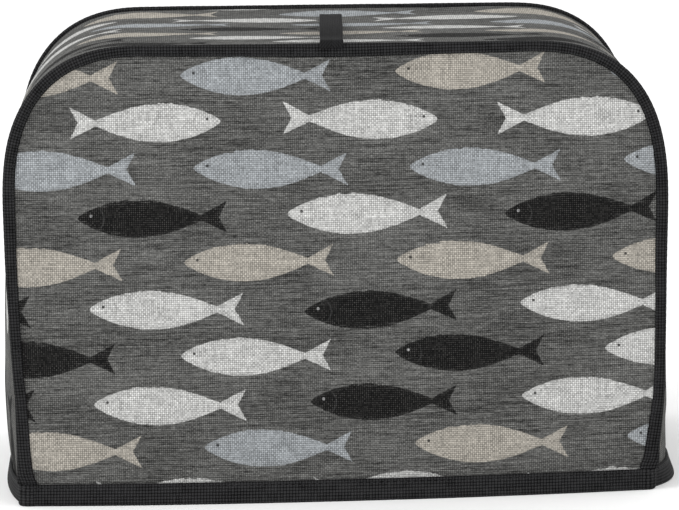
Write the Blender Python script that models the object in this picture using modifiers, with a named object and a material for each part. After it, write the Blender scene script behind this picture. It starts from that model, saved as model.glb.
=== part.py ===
"""A fitted cover for a two-slice toaster, standing on its hem.

Two arched panels (front and back) and one boxing strip, the gusset, that goes up the left side, over the
top and down the right side. Each seam is bound with a folded black tape, a wider folded tape closes the hem,
and a black strap is caught in the front seam and stitched down again at the middle of the top.

World frame: +X to the cover's right as seen from the front, +Y to the back, +Z up, origin on the surface
that the hem stands on, at the middle of the outline. Sizes below are in millimetres.
"""

import math

import bmesh
import bpy
from mathutils import Matrix

MM = 0.001

# ------------------------------------------------------------------ driving sizes, mm
DEPTH = 190.0  # from the front panel's face to the back panel's face at the seams
CLOTH = 1.2  # printed canvas with its backing
GAP = 0.3  # air between two pieces that lie on each other

# Outer edge of the seam binding, seen from the front: a straight side, a squarish round corner, a flat top.
TOP_Z = 201.6
TOP_MIDDLE, TOP_HALF = 3.0, 84.0  # the flat top reaches this far to each side of its middle
CORNER_Z = 132.0  # the corners start this far above the floor
CORNER_POWER = {-1: 2.45, 1: 2.6}
SLANT = 6.1e-5  # the top stands lower to the right, per mm to the right and per mm above the floor
# height above the floor, distance from the middle to the binding's outer edge on each side, width of the
# binding on the panel, how far the gusset swells out on each side, and how far behind mid depth it swells most
SIDE_TABLE = (
    # z    left    right   tape  swell_left  swell_right  middle_left  middle_right
    (0.0, 141.4, 142.2, 8.6, 7.9, 11.0, 0.0, -35.0),
    (9.5, 141.1, 142.5, 8.6, 7.2, 8.8, -10.0, -35.0),
    (14.0, 141.0, 142.8, 7.2, 8.2, 9.1, -9.0, -30.0),
    (20.0, 140.9, 143.1, 6.3, 8.9, 9.0, -7.0, -22.0),
    (29.0, 140.9, 144.1, 5.8, 9.6, 9.0, 0.0, 0.0),
    (44.0, 140.9, 145.6, 5.1, 9.9, 7.2, 0.0, 0.0),
    (60.0, 141.7, 146.1, 4.7, 8.5, 6.6, 0.0, 0.0),
    (83.0, 142.6, 146.7, 4.8, 7.1, 5.6, 0.0, 0.0),
    (108.0, 143.3, 147.4, 5.1, 4.9, 4.4, 0.0, 0.0),
    (132.0, 143.5, 148.2, 5.3, 3.4, 4.0, 0.0, 0.0),
)
LEFT, RIGHT, TAPE_WIDTH, SWELL_LEFT, SWELL_RIGHT, MIDDLE_LEFT, MIDDLE_RIGHT = range(1, 8)
CORNER_TAPE, TOP_TAPE = 4.5, 5.8  # where a corner meets the flat top, and at the middle of the top
TOP_SAG = -1.6  # the top cloth hangs a little between the two seams
# height above the floor, how far the middle of a panel stands out in front of its seams
PANEL_TABLE = (
    # z     crown
    (0.0, 8.2),
    (9.5, 6.4),
    (45.0, 6.4),
    (85.0, 5.8),
    (120.0, 4.6),
    (160.0, 2.4),
    (186.0, 0.9),
    (202.0, 0.2),
)
CROWN_POWER = 2.2
SWELL_POWER = {-1: 3.0, 1: 4.0}  # left side rounder, right side squarer

# Seam binding: a tape folded round the panel's edge. Its back leg stands on the gusset.
SEAM_RISE = 2.3  # the binding's outer edge above the gusset's face
TAPE = 0.9
PANEL_EDGE = 0.55  # how far the panel's edge reaches past the gusset's face, into the fold

# Hem: a wider tape folded round the lower edge of all three cloths.
HEM_Z = 9.5
HEM_TAPE = 1.0
HEM_GAP = 0.4  # air between the cloth and the tape folded round it
HEM_FLARE = {-1: 0.8, 1: 1.0}  # the fold's foot stands out this much more at mid depth
HEM_CORNER = 5.0  # the tape's corner starts this far from the seam
HEM_CORNER_PUSH = 3.0  # and bulges over the ends of the seam
CLOTH_FOOT = 2.2  # the raw edge stands this far above the floor, inside the fold

# Strap on top: distance back from the front face and height of its underside above the gusset's face.
STRAP_WIDTH, STRAP_THICK = 10.2, 1.4
STRAP_START, STRAP_END = 2.7, 145.0
STRAP_RISE_FROM, STRAP_RISE_TO, STRAP_CREST = 6.0, 134.0, 7.0
STRAP_X_START, STRAP_X_END = 2.0, 4.8

BINDING_FOOT = 9.8
SIDE_STATIONS = (10.1, 15.0, 22.0, 32.0, 45.0, 60.0, 78.0, 96.0, 114.0, 132.0)
HEM_STATIONS = (CLOTH_FOOT, 9.8)
CORNER_STEPS, TOP_STEPS = 9, 4
PANEL_STEPS, GUSSET_STEPS = 16, 12
CLOTH_SIDE_REACH = DEPTH / 2 - CLOTH / 2 - HEM_CORNER  # where the hem's corner starts, from mid depth


# ------------------------------------------------------------------ shape functions
def table(rows, z, column):
    """A column of a table at height z, straight between its rows."""
    if z <= rows[0][0]:
        return rows[0][column]
    for low, high in zip(rows, rows[1:]):
        if z <= high[0]:
            t = (z - low[0]) / (high[0] - low[0])
            return low[column] + t * (high[column] - low[column])
    return rows[-1][column]


def half_width(side, z):
    return table(SIDE_TABLE, z, LEFT if side < 0 else RIGHT)


def side_swell(side, z):
    return table(SIDE_TABLE, z, SWELL_LEFT if side < 0 else SWELL_RIGHT)


def swell_middle(side, z):
    return table(SIDE_TABLE, z, MIDDLE_LEFT if side < 0 else MIDDLE_RIGHT)


def half_outline(side, heights):
    """Stations of the binding's outer edge from the floor up one side to the middle of the top."""
    rows = [
        {
            "x": side * half_width(side, z),
            "z": z,
            "side": side,
            "swell": side_swell(side, z),
            "middle": swell_middle(side, z),
            "tape": table(SIDE_TABLE, z, TAPE_WIDTH),
        }
        for z in heights
    ]
    corner_x = TOP_HALF + side * TOP_MIDDLE
    wide = half_width(side, CORNER_Z) - corner_x
    high = TOP_Z - CORNER_Z
    power = 2 / CORNER_POWER[side]
    for k in range(1, CORNER_STEPS + TOP_STEPS + 1):
        share = min(1.0, k / CORNER_STEPS)
        a = math.radians(90.0 * share)
        x = corner_x + wide * max(0.0, math.cos(a)) ** power
        tape = SIDE_TABLE[-1][TAPE_WIDTH] + share * (CORNER_TAPE - SIDE_TABLE[-1][TAPE_WIDTH])
        if k > CORNER_STEPS:
            inward = (k - CORNER_STEPS) / TOP_STEPS
            x = corner_x - TOP_HALF * inward
            tape += inward * (TOP_TAPE - CORNER_TAPE)
        rows.append(
            {
                "x": side * x,
                "z": CORNER_Z + high * math.sin(a) ** power,
                "side": side,
                "swell": (1 - share) * side_swell(side, CORNER_Z) + share * TOP_SAG,
                "middle": 0.0,
                "tape": tape,
            }
        )
    return rows


def outline(heights):
    """The whole edge, from the left foot over the top to the right foot, each station with its outward normal."""
    rows = half_outline(-1, heights)[:-1] + half_outline(1, heights)[::-1]
    for k, row in enumerate(rows):
        a, b = rows[max(k - 1, 0)], rows[min(k + 1, len(rows) - 1)]
        dx, dz = b["x"] - a["x"], b["z"] - a["z"]
        length = math.hypot(dx, dz)
        row["n"] = (-dz / length, dx / length)
        if row["z"] < 1.2 * HEM_Z:
            row["n"] = (row["side"], 0.0)
    return rows


def off(row, distance):
    """The point that lies this far outside a station, in the panel's plane."""
    return row["x"] + distance * row["n"][0], row["z"] + distance * row["n"][1]


def seam_from(middle, facing):
    """How far the front (-1) or back (1) hem corner is from the place where the gusset swells most."""
    return CLOTH_SIDE_REACH - facing * middle


def swell_share(side, y, middle=0.0):
    """1 at the swell's middle, 0 at the seams."""
    away = abs(y - middle) / seam_from(middle, 1 if y > middle else -1)
    return 1 - min(1.0, away) ** SWELL_POWER[side]


def hem_front_reach(side, z):
    """How far from the middle the hem's corner starts."""
    return half_width(side, z) - SEAM_RISE - CLOTH / 2 - HEM_CORNER


def crown(x, z):
    """How far the face of a panel stands out in front of its seams."""
    reach = half_width(-1 if x < 0 else 1, z) - SEAM_RISE + PANEL_EDGE
    share = 1 - min(1.0, abs(x) / reach) ** CROWN_POWER
    return table(PANEL_TABLE, z, 1) * share


def gusset_point(row, y, depth_in):
    """A point of the gusset at depth y, depth_in below its outer face."""
    swell = row["swell"] * swell_share(row["side"], y, row["middle"])
    x, z = off(row, swell - SEAM_RISE - depth_in)
    return x, y, z


def top_face_z(y):
    """Height of the gusset's face along the middle of the top."""
    return TOP_Z - SEAM_RISE + TOP_SAG * swell_share(-1, y)


# ------------------------------------------------------------------ mesh helpers
def bent_grid(name, place, columns, rows, wrap_columns=False, wrap_rows=False):
    """A grid of quads whose points are laid out by place(i, j). A wrapped side is sewn to its opposite side."""
    bm = bmesh.new()
    bmesh.ops.create_grid(bm, x_segments=columns, y_segments=rows, size=1.0)
    for v in bm.verts:
        i = round((v.co.x + 1) / 2 * columns)
        j = round((v.co.y + 1) / 2 * rows)
        if wrap_columns:
            i %= columns
        if wrap_rows:
            j %= rows
        x, y, z = place(i, j)
        v.co = (x * MM, y * MM, z * (1 - SLANT * x) * MM)
    if wrap_columns or wrap_rows:
        bmesh.ops.remove_doubles(bm, verts=bm.verts, dist=1e-7)
    if wrap_rows and not wrap_columns:
        rim = [e for e in bm.edges if e.is_boundary]
        bmesh.ops.holes_fill(bm, edges=rim, sides=0)
    bmesh.ops.recalc_face_normals(bm, faces=bm.faces)
    mesh = bpy.data.meshes.new(name)
    bm.to_mesh(mesh)
    bm.free()
    obj = bpy.data.objects.new(name, mesh)
    cover.objects.link(obj)
    return obj


def give_thickness(obj, thickness):
    """Cloth: the grid is its middle layer."""
    solid = obj.modifiers.new("Thickness", "SOLIDIFY")
    solid.thickness = thickness * MM
    solid.offset = 0.0
    solid.use_even_offset = True


def finish(obj, material, angle=50.0):
    obj.data.materials.append(material)
    obj.data.shade_smooth()
    obj.data.set_sharp_from_angle(angle=math.radians(angle))


def cloth_material(name, color, roughness):
    material = bpy.data.materials.new(name)
    material.use_nodes = True
    shader = material.node_tree.nodes["Principled BSDF"]
    shader.inputs["Base Color"].default_value = (*color, 1.0)
    shader.inputs["Roughness"].default_value = roughness
    shader.inputs["Metallic"].default_value = 0.0
    return material


# ------------------------------------------------------------------ pieces
def make_panel(name, facing, material):
    """An arched panel. facing is -1 for the front and +1 for the back."""
    heights = HEM_STATIONS + SIDE_STATIONS
    rows = outline(heights)
    levels = len(heights) + CORNER_STEPS
    last = len(rows) - 1

    def edge_point(row):
        if row["z"] < BINDING_FOOT + GAP / 2:
            side = row["side"]
            return side * hem_front_reach(side, row["z"]), row["z"]
        return off(row, PANEL_EDGE - SEAM_RISE)

    def place(i, j):
        left, z = edge_point(rows[j])
        right, _ = edge_point(rows[last - j])
        x = left + (right - left) * across_panel(i)
        if z < BINDING_FOOT + GAP / 2:
            x = max(left + 0.4, min(right - 0.4, x))
        return x, facing * (DEPTH / 2 - CLOTH / 2 + crown(x, z)), z

    obj = bent_grid(name, place, PANEL_STEPS, levels - 1)
    give_thickness(obj, CLOTH)
    finish(obj, material)
    return obj


def across_panel(i):
    """Share of the way from the left edge to the right one."""
    return (1 + math.sin((2 * i / PANEL_STEPS - 1) * math.pi / 2)) / 2


def across_gusset(j):
    """Share of the way from mid depth to a seam. The strips beside the seams are narrower: the cloth bends there."""
    return math.sin((2 * j / GUSSET_STEPS - 1) * math.pi / 2)


def make_gusset(name, material):
    rows = outline(HEM_STATIONS + SIDE_STATIONS)

    def place(i, j):
        row = rows[i]
        if row["z"] < BINDING_FOOT + GAP / 2:
            reach = CLOTH_SIDE_REACH - 0.4
            y = max(-reach, min(reach, CLOTH_SIDE_REACH * across_gusset(j)))
        else:
            y = (DEPTH / 2 - CLOTH - GAP) * across_gusset(j)
        return gusset_point(row, y, CLOTH / 2)

    obj = bent_grid(name, place, len(rows) - 1, GUSSET_STEPS)
    give_thickness(obj, CLOTH)
    finish(obj, material)
    return obj


def binding_section(tape):
    """Closed section of the folded tape: distance outside the gusset's face, distance behind the panel's face."""
    middle = CLOTH / 2
    outer, inner = middle + GAP + TAPE, middle + GAP
    centre = SEAM_RISE - outer * math.cos(math.radians(30))
    edge = SEAM_RISE - tape
    half = (edge + centre) / 2
    section = [(edge, -GAP - TAPE * 0.9), (half, -GAP - TAPE * 1.25)]
    for radius, turn in ((outer, 1), (inner, -1)):
        for a in (-90, -30, 30, 90):
            b = math.radians(a * turn)
            section.append(
                (centre + radius * math.cos(b), middle + radius * math.sin(b))
            )
    section += [(half, -GAP), (edge, -GAP)]
    return section


def make_binding(name, facing, material):
    rows = outline((BINDING_FOOT,) + SIDE_STATIONS[1:])
    sections = [binding_section(row["tape"]) for row in rows]
    count = len(sections[0])

    def place(i, j):
        out, behind = sections[i][j]
        x, z = off(rows[i], out - SEAM_RISE)
        z = max(z, BINDING_FOOT)
        return x, facing * (DEPTH / 2 - behind + crown(x, z)), z

    obj = bent_grid(name, place, len(rows) - 1, count, wrap_rows=True)
    finish(obj, material, 60.0)
    return obj


def hem_plan():
    """Stations round the hem, as (part of the loop, side, share of that part), anticlockwise from above."""
    loop = []
    for part, side, steps in (
        ("front", 0, PANEL_STEPS),
        ("front corner", 1, 6),
        ("right", 1, GUSSET_STEPS),
        ("back corner", 1, 6),
        ("back", 0, PANEL_STEPS),
        ("back corner", -1, 6),
        ("left", -1, GUSSET_STEPS),
        ("front corner", -1, 6),
    ):
        loop += [(part, side, k / steps) for k in range(steps)]
    return loop


def corner_curve(side, facing, z, t):
    """The hem's corner: t = 0 on the panel, t = 1 on the gusset, leaving both along their own slope."""
    a = half_width(side, z) - SEAM_RISE - CLOTH / 2
    b = DEPTH / 2 - CLOTH / 2
    start = (a - HEM_CORNER, b + crown(a - HEM_CORNER, z))
    end = (a, b - HEM_CORNER)
    reach = seam_from(swell_middle(side, z), facing)
    lean = side_swell(side, z) * SWELL_POWER[side] / reach
    knee = (
        a + HEM_CORNER_PUSH - lean * HEM_CORNER / 2,
        b + HEM_CORNER_PUSH * 0.6,
    )
    x = (1 - t) ** 2 * start[0] + 2 * t * (1 - t) * knee[0] + t**2 * end[0]
    y = (1 - t) ** 2 * start[1] + 2 * t * (1 - t) * knee[1] + t**2 * end[1]
    return side * x, facing * y


def hem_point(station, z):
    """The middle layer of the cloth at this station and height."""
    part, side, t = station
    if part in ("front", "back"):
        facing = -1 if part == "front" else 1
        left, right = -hem_front_reach(-1, z), hem_front_reach(1, z)
        column = PANEL_STEPS * (t if part == "front" else 1 - t)
        x = left + (right - left) * across_panel(column)
        return x, facing * (DEPTH / 2 - CLOTH / 2 + crown(x, z))
    if part in ("left", "right"):
        y = CLOTH_SIDE_REACH * across_gusset(GUSSET_STEPS * t) * side
        a = half_width(side, z) - SEAM_RISE - CLOTH / 2
        share = swell_share(side, y, swell_middle(side, z))
        return side * (a + side_swell(side, z) * share), y
    facing = -1 if part == "front corner" else 1
    to_gusset = t if facing * side < 0 else 1 - t
    return corner_curve(side, facing, z, to_gusset)


def make_hem(name, material):
    stations = hem_plan()
    count = len(stations)
    half_in = CLOTH / 2 + HEM_GAP
    half_out = half_in + HEM_TAPE
    # distance outside the cloth's middle layer, height; the second and third points carry the flare
    section = [
        (half_out, HEM_Z),
        (half_out, 0.9),
        (half_out - 0.7, 0.0),
        (-half_out + 0.7, 0.0),
        (-half_out, 0.9),
        (-half_out, HEM_Z),
        (-half_in, HEM_Z),
        (-half_in, HEM_TAPE),
        (half_in, HEM_TAPE),
        (half_in, HEM_Z),
    ]

    def place(i, j):
        out, z = section[j]
        x, y = hem_point(stations[i], z)
        part, side, _ = stations[i]
        if j in (1, 2) and part in ("left", "right"):
            out += HEM_FLARE[side] * swell_share(side, y, swell_middle(side, z))
        before, after = (
            hem_point(stations[(i - 1) % count], z),
            hem_point(stations[(i + 1) % count], z),
        )
        dx, dy = after[0] - before[0], after[1] - before[1]
        length = math.hypot(dx, dy)
        return x + out * dy / length, y - out * dx / length, z

    obj = bent_grid(name, place, count, len(section), wrap_columns=True, wrap_rows=True)
    finish(obj, material, 40.0)
    return obj


def strap_underside(back):
    """Height of the strap's underside above the gusset's face, this far behind the front face."""
    middle = (STRAP_RISE_FROM + STRAP_RISE_TO) / 2
    reach = (STRAP_RISE_TO - STRAP_RISE_FROM) / 2
    t = min(1.0, abs(back - middle) / reach)
    return GAP + (STRAP_CREST - GAP) * (1 - t**3)


def make_strap(name, material):
    lengths = 26

    def place(i, j):
        t = i / lengths
        back = STRAP_START + (STRAP_END - STRAP_START) * t
        y = back - DEPTH / 2
        x = STRAP_X_START + (STRAP_X_END - STRAP_X_START) * t
        side = (j - 1) * STRAP_WIDTH / 2
        z = top_face_z(y) + strap_underside(back) + STRAP_THICK / 2
        return x + side, y, z

    obj = bent_grid(name, place, lengths, 2)
    give_thickness(obj, STRAP_THICK)
    finish(obj, material)
    return obj


# ------------------------------------------------------------------ assembly
for old in list(bpy.data.objects):
    bpy.data.objects.remove(old)
cover = bpy.data.collections.new("toaster_cover")
bpy.context.scene.collection.children.link(cover)

print_front = cloth_material("printed_canvas_front", (0.13, 0.13, 0.13), 0.85)
print_back = cloth_material("printed_canvas_back", (0.13, 0.13, 0.13), 0.85)
print_side = cloth_material("printed_canvas_gusset", (0.12, 0.12, 0.12), 0.85)
black_front = cloth_material("black_tape_front", (0.022, 0.022, 0.023), 0.8)
black_back = cloth_material("black_tape_back", (0.022, 0.022, 0.023), 0.8)
black_hem = cloth_material("black_tape_hem", (0.024, 0.024, 0.025), 0.8)
black_strap = cloth_material("black_webbing", (0.03, 0.03, 0.03), 0.75)

make_panel("front_panel", -1, print_front)
make_panel("back_panel", 1, print_back)
make_gusset("gusset", print_side)
make_binding("front_binding", -1, black_front)
make_binding("back_binding", 1, black_back)
make_hem("hem_band", black_hem)
make_strap("top_strap", black_strap)

# the origin is at the middle of the outline
feet = [v.co.x for v in cover.objects["hem_band"].data.vertices]
for piece in cover.objects:
    piece.data.transform(Matrix.Translation((-(min(feet) + max(feet)) / 2, 0, 0)))
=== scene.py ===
"""The toaster cover's looks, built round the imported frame.

Every cloth, tape and strap is built again on the same outline as its CAD solid, finer and softer, and takes its
place. Sizes in the tables are millimetres, and the objects are in metres.
"""

import math

import bpy
import numpy as np
from mathutils import Matrix, Vector


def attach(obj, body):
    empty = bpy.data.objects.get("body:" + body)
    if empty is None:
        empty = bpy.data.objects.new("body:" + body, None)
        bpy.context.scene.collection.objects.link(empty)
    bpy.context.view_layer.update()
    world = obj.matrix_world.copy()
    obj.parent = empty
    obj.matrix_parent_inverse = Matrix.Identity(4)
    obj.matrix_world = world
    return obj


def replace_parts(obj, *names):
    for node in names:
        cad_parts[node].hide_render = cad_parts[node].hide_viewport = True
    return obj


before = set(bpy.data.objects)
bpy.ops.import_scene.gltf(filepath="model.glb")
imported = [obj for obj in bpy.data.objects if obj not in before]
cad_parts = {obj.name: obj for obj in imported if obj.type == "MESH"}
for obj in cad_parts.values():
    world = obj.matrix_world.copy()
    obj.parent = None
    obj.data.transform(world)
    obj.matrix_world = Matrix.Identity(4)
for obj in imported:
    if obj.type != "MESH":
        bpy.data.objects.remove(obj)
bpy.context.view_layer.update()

MM = 0.001
MIDDLE = -2.00689  # the frame's origin is at the middle of the outline: this much is added to every x below

# ------------------------------------------------------------------ camera
YAW, PITCH, ROLL = 0.02190464728808942, 0.14300092349002463, -0.022689280275926284
EYE = (-0.0434954, -2.1402941, 0.4029139)
LENS = 249.49

forward = Vector(
    (math.sin(YAW) * math.cos(PITCH), math.cos(YAW) * math.cos(PITCH), -math.sin(PITCH))
)
right = Vector((math.cos(YAW), -math.sin(YAW), 0.0))
up = right.cross(forward)
across = right * math.cos(ROLL) + up * math.sin(ROLL)
upward = up * math.cos(ROLL) - right * math.sin(ROLL)
camera = bpy.data.objects.new("camera", bpy.data.cameras.new("camera"))
camera.matrix_world = Matrix(
    (
        (across.x, upward.x, -forward.x, EYE[0]),
        (across.y, upward.y, -forward.y, EYE[1]),
        (across.z, upward.z, -forward.z, EYE[2]),
        (0, 0, 0, 1),
    )
)
camera.data.sensor_width = 36.0
camera.data.sensor_fit = "HORIZONTAL"
camera.data.lens = LENS
camera.data.clip_start, camera.data.clip_end = 0.05, 60.0
bpy.context.scene.collection.objects.link(camera)
bpy.context.scene.camera = camera

bpy.context.scene.view_settings.view_transform = "Standard"
bpy.context.scene.view_settings.look = "None"


# ------------------------------------------------------------------ the outline, as in the CAD, but smooth
DEPTH = 190.0
CLOTH = 1.2
GAP = 0.3
TOP_Z = 201.6
TOP_MIDDLE, TOP_HALF = 3.0, 84.0
CORNER_Z = 132.0
CORNER_POWER = {-1: 2.45, 1: 2.6}
SLANT = 6.1e-5
SIDE_TABLE = (
    # z    left    right   tape  swell_left  swell_right  middle_left  middle_right
    (0.0, 141.4, 142.2, 8.6, 7.9, 11.0, 0.0, -35.0),
    (9.5, 141.1, 142.5, 8.6, 7.2, 8.8, -10.0, -35.0),
    (14.0, 141.0, 142.8, 7.2, 8.2, 9.1, -9.0, -30.0),
    (20.0, 140.9, 143.1, 6.3, 8.9, 9.0, -7.0, -22.0),
    (29.0, 140.9, 144.1, 5.8, 9.6, 9.0, 0.0, 0.0),
    (44.0, 140.9, 145.6, 5.1, 9.9, 7.2, 0.0, 0.0),
    (60.0, 141.7, 146.1, 4.7, 8.5, 6.6, 0.0, 0.0),
    (83.0, 142.6, 146.7, 4.8, 7.1, 5.6, 0.0, 0.0),
    (108.0, 143.3, 147.4, 5.1, 4.9, 4.4, 0.0, 0.0),
    (132.0, 143.5, 148.2, 5.3, 3.4, 4.0, 0.0, 0.0),
)
CORNER_TAPE, TOP_TAPE = 4.5, 5.8
TOP_SAG = -1.6
PANEL_TABLE = (
    (0.0, 8.2),
    (9.5, 6.4),
    (45.0, 6.4),
    (85.0, 5.8),
    (120.0, 4.6),
    (160.0, 2.4),
    (186.0, 0.9),
    (202.0, 0.2),
)
CROWN_POWER = 2.2
SWELL_POWER = {-1: 3.0, 1: 4.0}
SEAM_RISE = 2.3
TAPE = 0.9
PANEL_EDGE = 0.55
HEM_Z = 9.5
HEM_TAPE = 1.0
HEM_GAP = 0.4
HEM_FLARE = {-1: 0.8, 1: 1.0}
HEM_CORNER = 5.0
HEM_CORNER_PUSH = 3.0
CLOTH_FOOT = 2.2
STRAP_WIDTH, STRAP_THICK = 10.2, 1.4
STRAP_START, STRAP_END = 2.7, 145.0
STRAP_RISE_FROM, STRAP_RISE_TO, STRAP_CREST = 6.0, 134.0, 7.0
STRAP_X_START, STRAP_X_END = 2.0, 4.8
BINDING_FOOT = 9.8
CLOTH_SIDE_REACH = DEPTH / 2 - CLOTH / 2 - HEM_CORNER
WEAVE = 0.895  # from one thread of the canvas to the next


class Smooth:
    """A monotone cubic through the points of a table."""

    def __init__(self, rows, column):
        self.x = np.array([r[0] for r in rows], float)
        self.y = np.array([r[column] for r in rows], float)
        step, rise = np.diff(self.x), np.diff(self.y)
        d = rise / step
        m = np.zeros_like(self.y)
        m[0], m[-1] = d[0], 0.0
        for k in range(1, len(d)):
            if d[k - 1] * d[k] > 0:
                w0, w1 = 2 * step[k] + step[k - 1], step[k] + 2 * step[k - 1]
                m[k] = (w0 + w1) / (w0 / d[k - 1] + w1 / d[k])
        self.m = m

    def __call__(self, x):
        x = np.clip(x, self.x[0], self.x[-1])
        k = np.clip(np.searchsorted(self.x, x, side="right") - 1, 0, len(self.x) - 2)
        h = self.x[k + 1] - self.x[k]
        t = (x - self.x[k]) / h
        return (
            (1 + 2 * t) * (1 - t) ** 2 * self.y[k]
            + t * (1 - t) ** 2 * h * self.m[k]
            + t * t * (3 - 2 * t) * self.y[k + 1]
            + t * t * (t - 1) * h * self.m[k + 1]
        )


half_width = {-1: Smooth(SIDE_TABLE, 1), 1: Smooth(SIDE_TABLE, 2)}
tape_width = Smooth(SIDE_TABLE, 3)
side_swell = {-1: Smooth(SIDE_TABLE, 4), 1: Smooth(SIDE_TABLE, 5)}
swell_middle = {-1: Smooth(SIDE_TABLE, 6), 1: Smooth(SIDE_TABLE, 7)}
panel_crown = Smooth(PANEL_TABLE, 1)


def by_side(side, functions, value):
    return np.where(side < 0, functions[-1](value), functions[1](value))


def waves(seed, count, shortest, longest):
    """A few sines of mixed lengths and directions, made once: an uneven surface of about unit height."""
    rng = np.random.default_rng(seed)
    length = rng.uniform(shortest, longest, count)
    turn = rng.uniform(0, 2 * math.pi, count)
    phase = rng.uniform(0, 2 * math.pi, count)

    def height(a, b):
        total = 0.0
        for k in range(count):
            total = total + np.sin(
                2 * math.pi * (a * math.cos(turn[k]) + b * math.sin(turn[k])) / length[k]
                + phase[k]
            )
        return total / math.sqrt(count)

    return height


def half_outline(side):
    """One side of the binding's outer edge, from the floor to the middle of the top, in short steps."""
    z = np.arange(0.0, CORNER_Z, 0.25)
    x = half_width[side](z)
    swell, tape = side_swell[side](z), tape_width(z)
    a = np.linspace(0.0, 1.0, 1400) ** 1.2
    corner_x = TOP_HALF + side * TOP_MIDDLE
    power = 2 / CORNER_POWER[side]
    wide, high = float(half_width[side](CORNER_Z)) - corner_x, TOP_Z - CORNER_Z
    cx = corner_x + wide * np.maximum(0.0, np.cos(a * math.pi / 2)) ** power
    cz = CORNER_Z + high * np.sin(a * math.pi / 2) ** power
    ct = SIDE_TABLE[-1][3] + a * (CORNER_TAPE - SIDE_TABLE[-1][3])
    cs = (1 - a) * float(side_swell[side](CORNER_Z)) + a * TOP_SAG
    inward = np.linspace(0.0, 1.0, 300)[1:]
    tx = corner_x - TOP_HALF * inward
    return {
        "x": side * np.concatenate([x, cx, tx]),
        "z": np.concatenate([z, cz, np.full_like(tx, TOP_Z)]),
        "swell": np.concatenate([swell, cs, np.full_like(tx, TOP_SAG)]),
        "middle": np.concatenate(
            [swell_middle[side](z), np.zeros_like(cs), np.zeros_like(tx)]
        ),
        "tape": np.concatenate(
            [tape, ct, CORNER_TAPE + inward * (TOP_TAPE - CORNER_TAPE)]
        ),
        "side": np.full(len(x) + len(cx) + len(tx), side),
    }


def whole_outline():
    left, right_half = half_outline(-1), half_outline(1)
    line = {k: np.concatenate([left[k], right_half[k][-2::-1]]) for k in left}
    step = np.hypot(np.diff(line["x"]), np.diff(line["z"]))
    keep = np.concatenate([[True], step > 1e-6])
    line = {k: v[keep] for k, v in line.items()}
    line["s"] = np.concatenate(
        [[0.0], np.cumsum(np.hypot(np.diff(line["x"]), np.diff(line["z"])))]
    )
    return line


EDGE = whole_outline()


def stations(z_from, spacing):
    """The edge again, from z_from on the left to z_from on the right, at even steps, with outward normals."""
    high = EDGE["z"] >= z_from
    first, last = EDGE["s"][high][0], EDGE["s"][high][-1]
    first -= (EDGE["z"][high][0] - z_from)
    last += (EDGE["z"][high][-1] - z_from)
    count = int(round((last - first) / spacing))
    s = np.linspace(first, last, count + 1)
    row = {k: np.interp(s, EDGE["s"], EDGE[k]) for k in ("x", "z", "swell", "middle", "tape")}
    row["side"] = np.where(row["x"] < TOP_MIDDLE, -1, 1)
    before = {k: np.interp(s - 2.5, EDGE["s"], EDGE[k]) for k in ("x", "z")}
    after = {k: np.interp(s + 2.5, EDGE["s"], EDGE[k]) for k in ("x", "z")}
    dx, dz = after["x"] - before["x"], after["z"] - before["z"]
    length = np.hypot(dx, dz)
    nx, nz = -dz / length, dx / length
    low = row["z"] < 1.2 * HEM_Z
    row["nx"] = np.where(low, row["side"], nx)
    row["nz"] = np.where(low, 0.0, nz)
    row["s"] = s
    return row


def swell_share(side, y, middle=0.0):
    """1 where the gusset swells most, 0 at the seams."""
    power = np.where(side < 0, SWELL_POWER[-1], SWELL_POWER[1])
    reach = CLOTH_SIDE_REACH - np.sign(y - middle) * middle
    return 1 - np.minimum(1.0, np.abs(y - middle) / reach) ** power


def hem_front_reach(side, z):
    return half_width[side](z) - SEAM_RISE - CLOTH / 2 - HEM_CORNER


panel_slow, panel_quick = waves(11, 7, 70, 150), waves(12, 9, 9, 22)


def crown(x, z, facing=-1):
    """How far a panel's face stands out in front of its seams: a broad crown, and the cloth's own unevenness."""
    side = np.where(x < 0, -1, 1)
    reach = by_side(side, half_width, z) - SEAM_RISE + PANEL_EDGE
    share = np.minimum(1.0, np.abs(x) / reach)
    body = panel_crown(z) * (1 - share**CROWN_POWER)
    inset = np.minimum(reach * (1 - share), np.maximum(0.0, TOP_Z - SEAM_RISE - z))
    calm = np.clip((z - 9.0) / 12.0, 0.0, 1.0)
    slow = 0.35 * panel_slow(x * facing, z) * np.clip(inset / 40.0, 0, 1) * calm
    # the seam draws the cloth up in small puckers that die out within a finger's width
    near = np.exp(-(((inset - 6.5) / 4.5) ** 2))
    quick = 0.10 * panel_quick(x * facing + 40, z) * near * calm
    return body + slow + quick


gusset_slow, gusset_quick = waves(21, 6, 60, 130), waves(22, 9, 9, 20)


def gusset_bumps(s, y):
    """The gusset's own unevenness."""
    inset = DEPTH / 2 - np.abs(y)
    slow = 0.35 * gusset_slow(s, y) * np.clip(inset / 35.0, 0, 1)
    near = np.exp(-(((inset - 6.0) / 4.0) ** 2))
    return slow + 0.10 * gusset_quick(s, y) * near


def back_rise(y):
    """The gusset stands up a little against the back seam."""
    return 0.8 * np.exp(-(((DEPTH / 2 - y) / 12.0) ** 2))


def bend(points):
    """Millimetres in the outline's own frame, to metres in the part's frame."""
    out = np.array(points, float)
    out[..., 2] *= 1 - SLANT * out[..., 0]
    out[..., 0] += MIDDLE
    return out * MM


# ------------------------------------------------------------------ mesh helpers
def link(name, mesh, materials, smooth_angle=None):
    obj = bpy.data.objects.new(name, mesh)
    bpy.context.scene.collection.objects.link(obj)
    for m in materials:
        mesh.materials.append(m)
    mesh.shade_smooth()
    if smooth_angle:
        mesh.set_sharp_from_angle(angle=math.radians(smooth_angle))
    return obj


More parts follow.
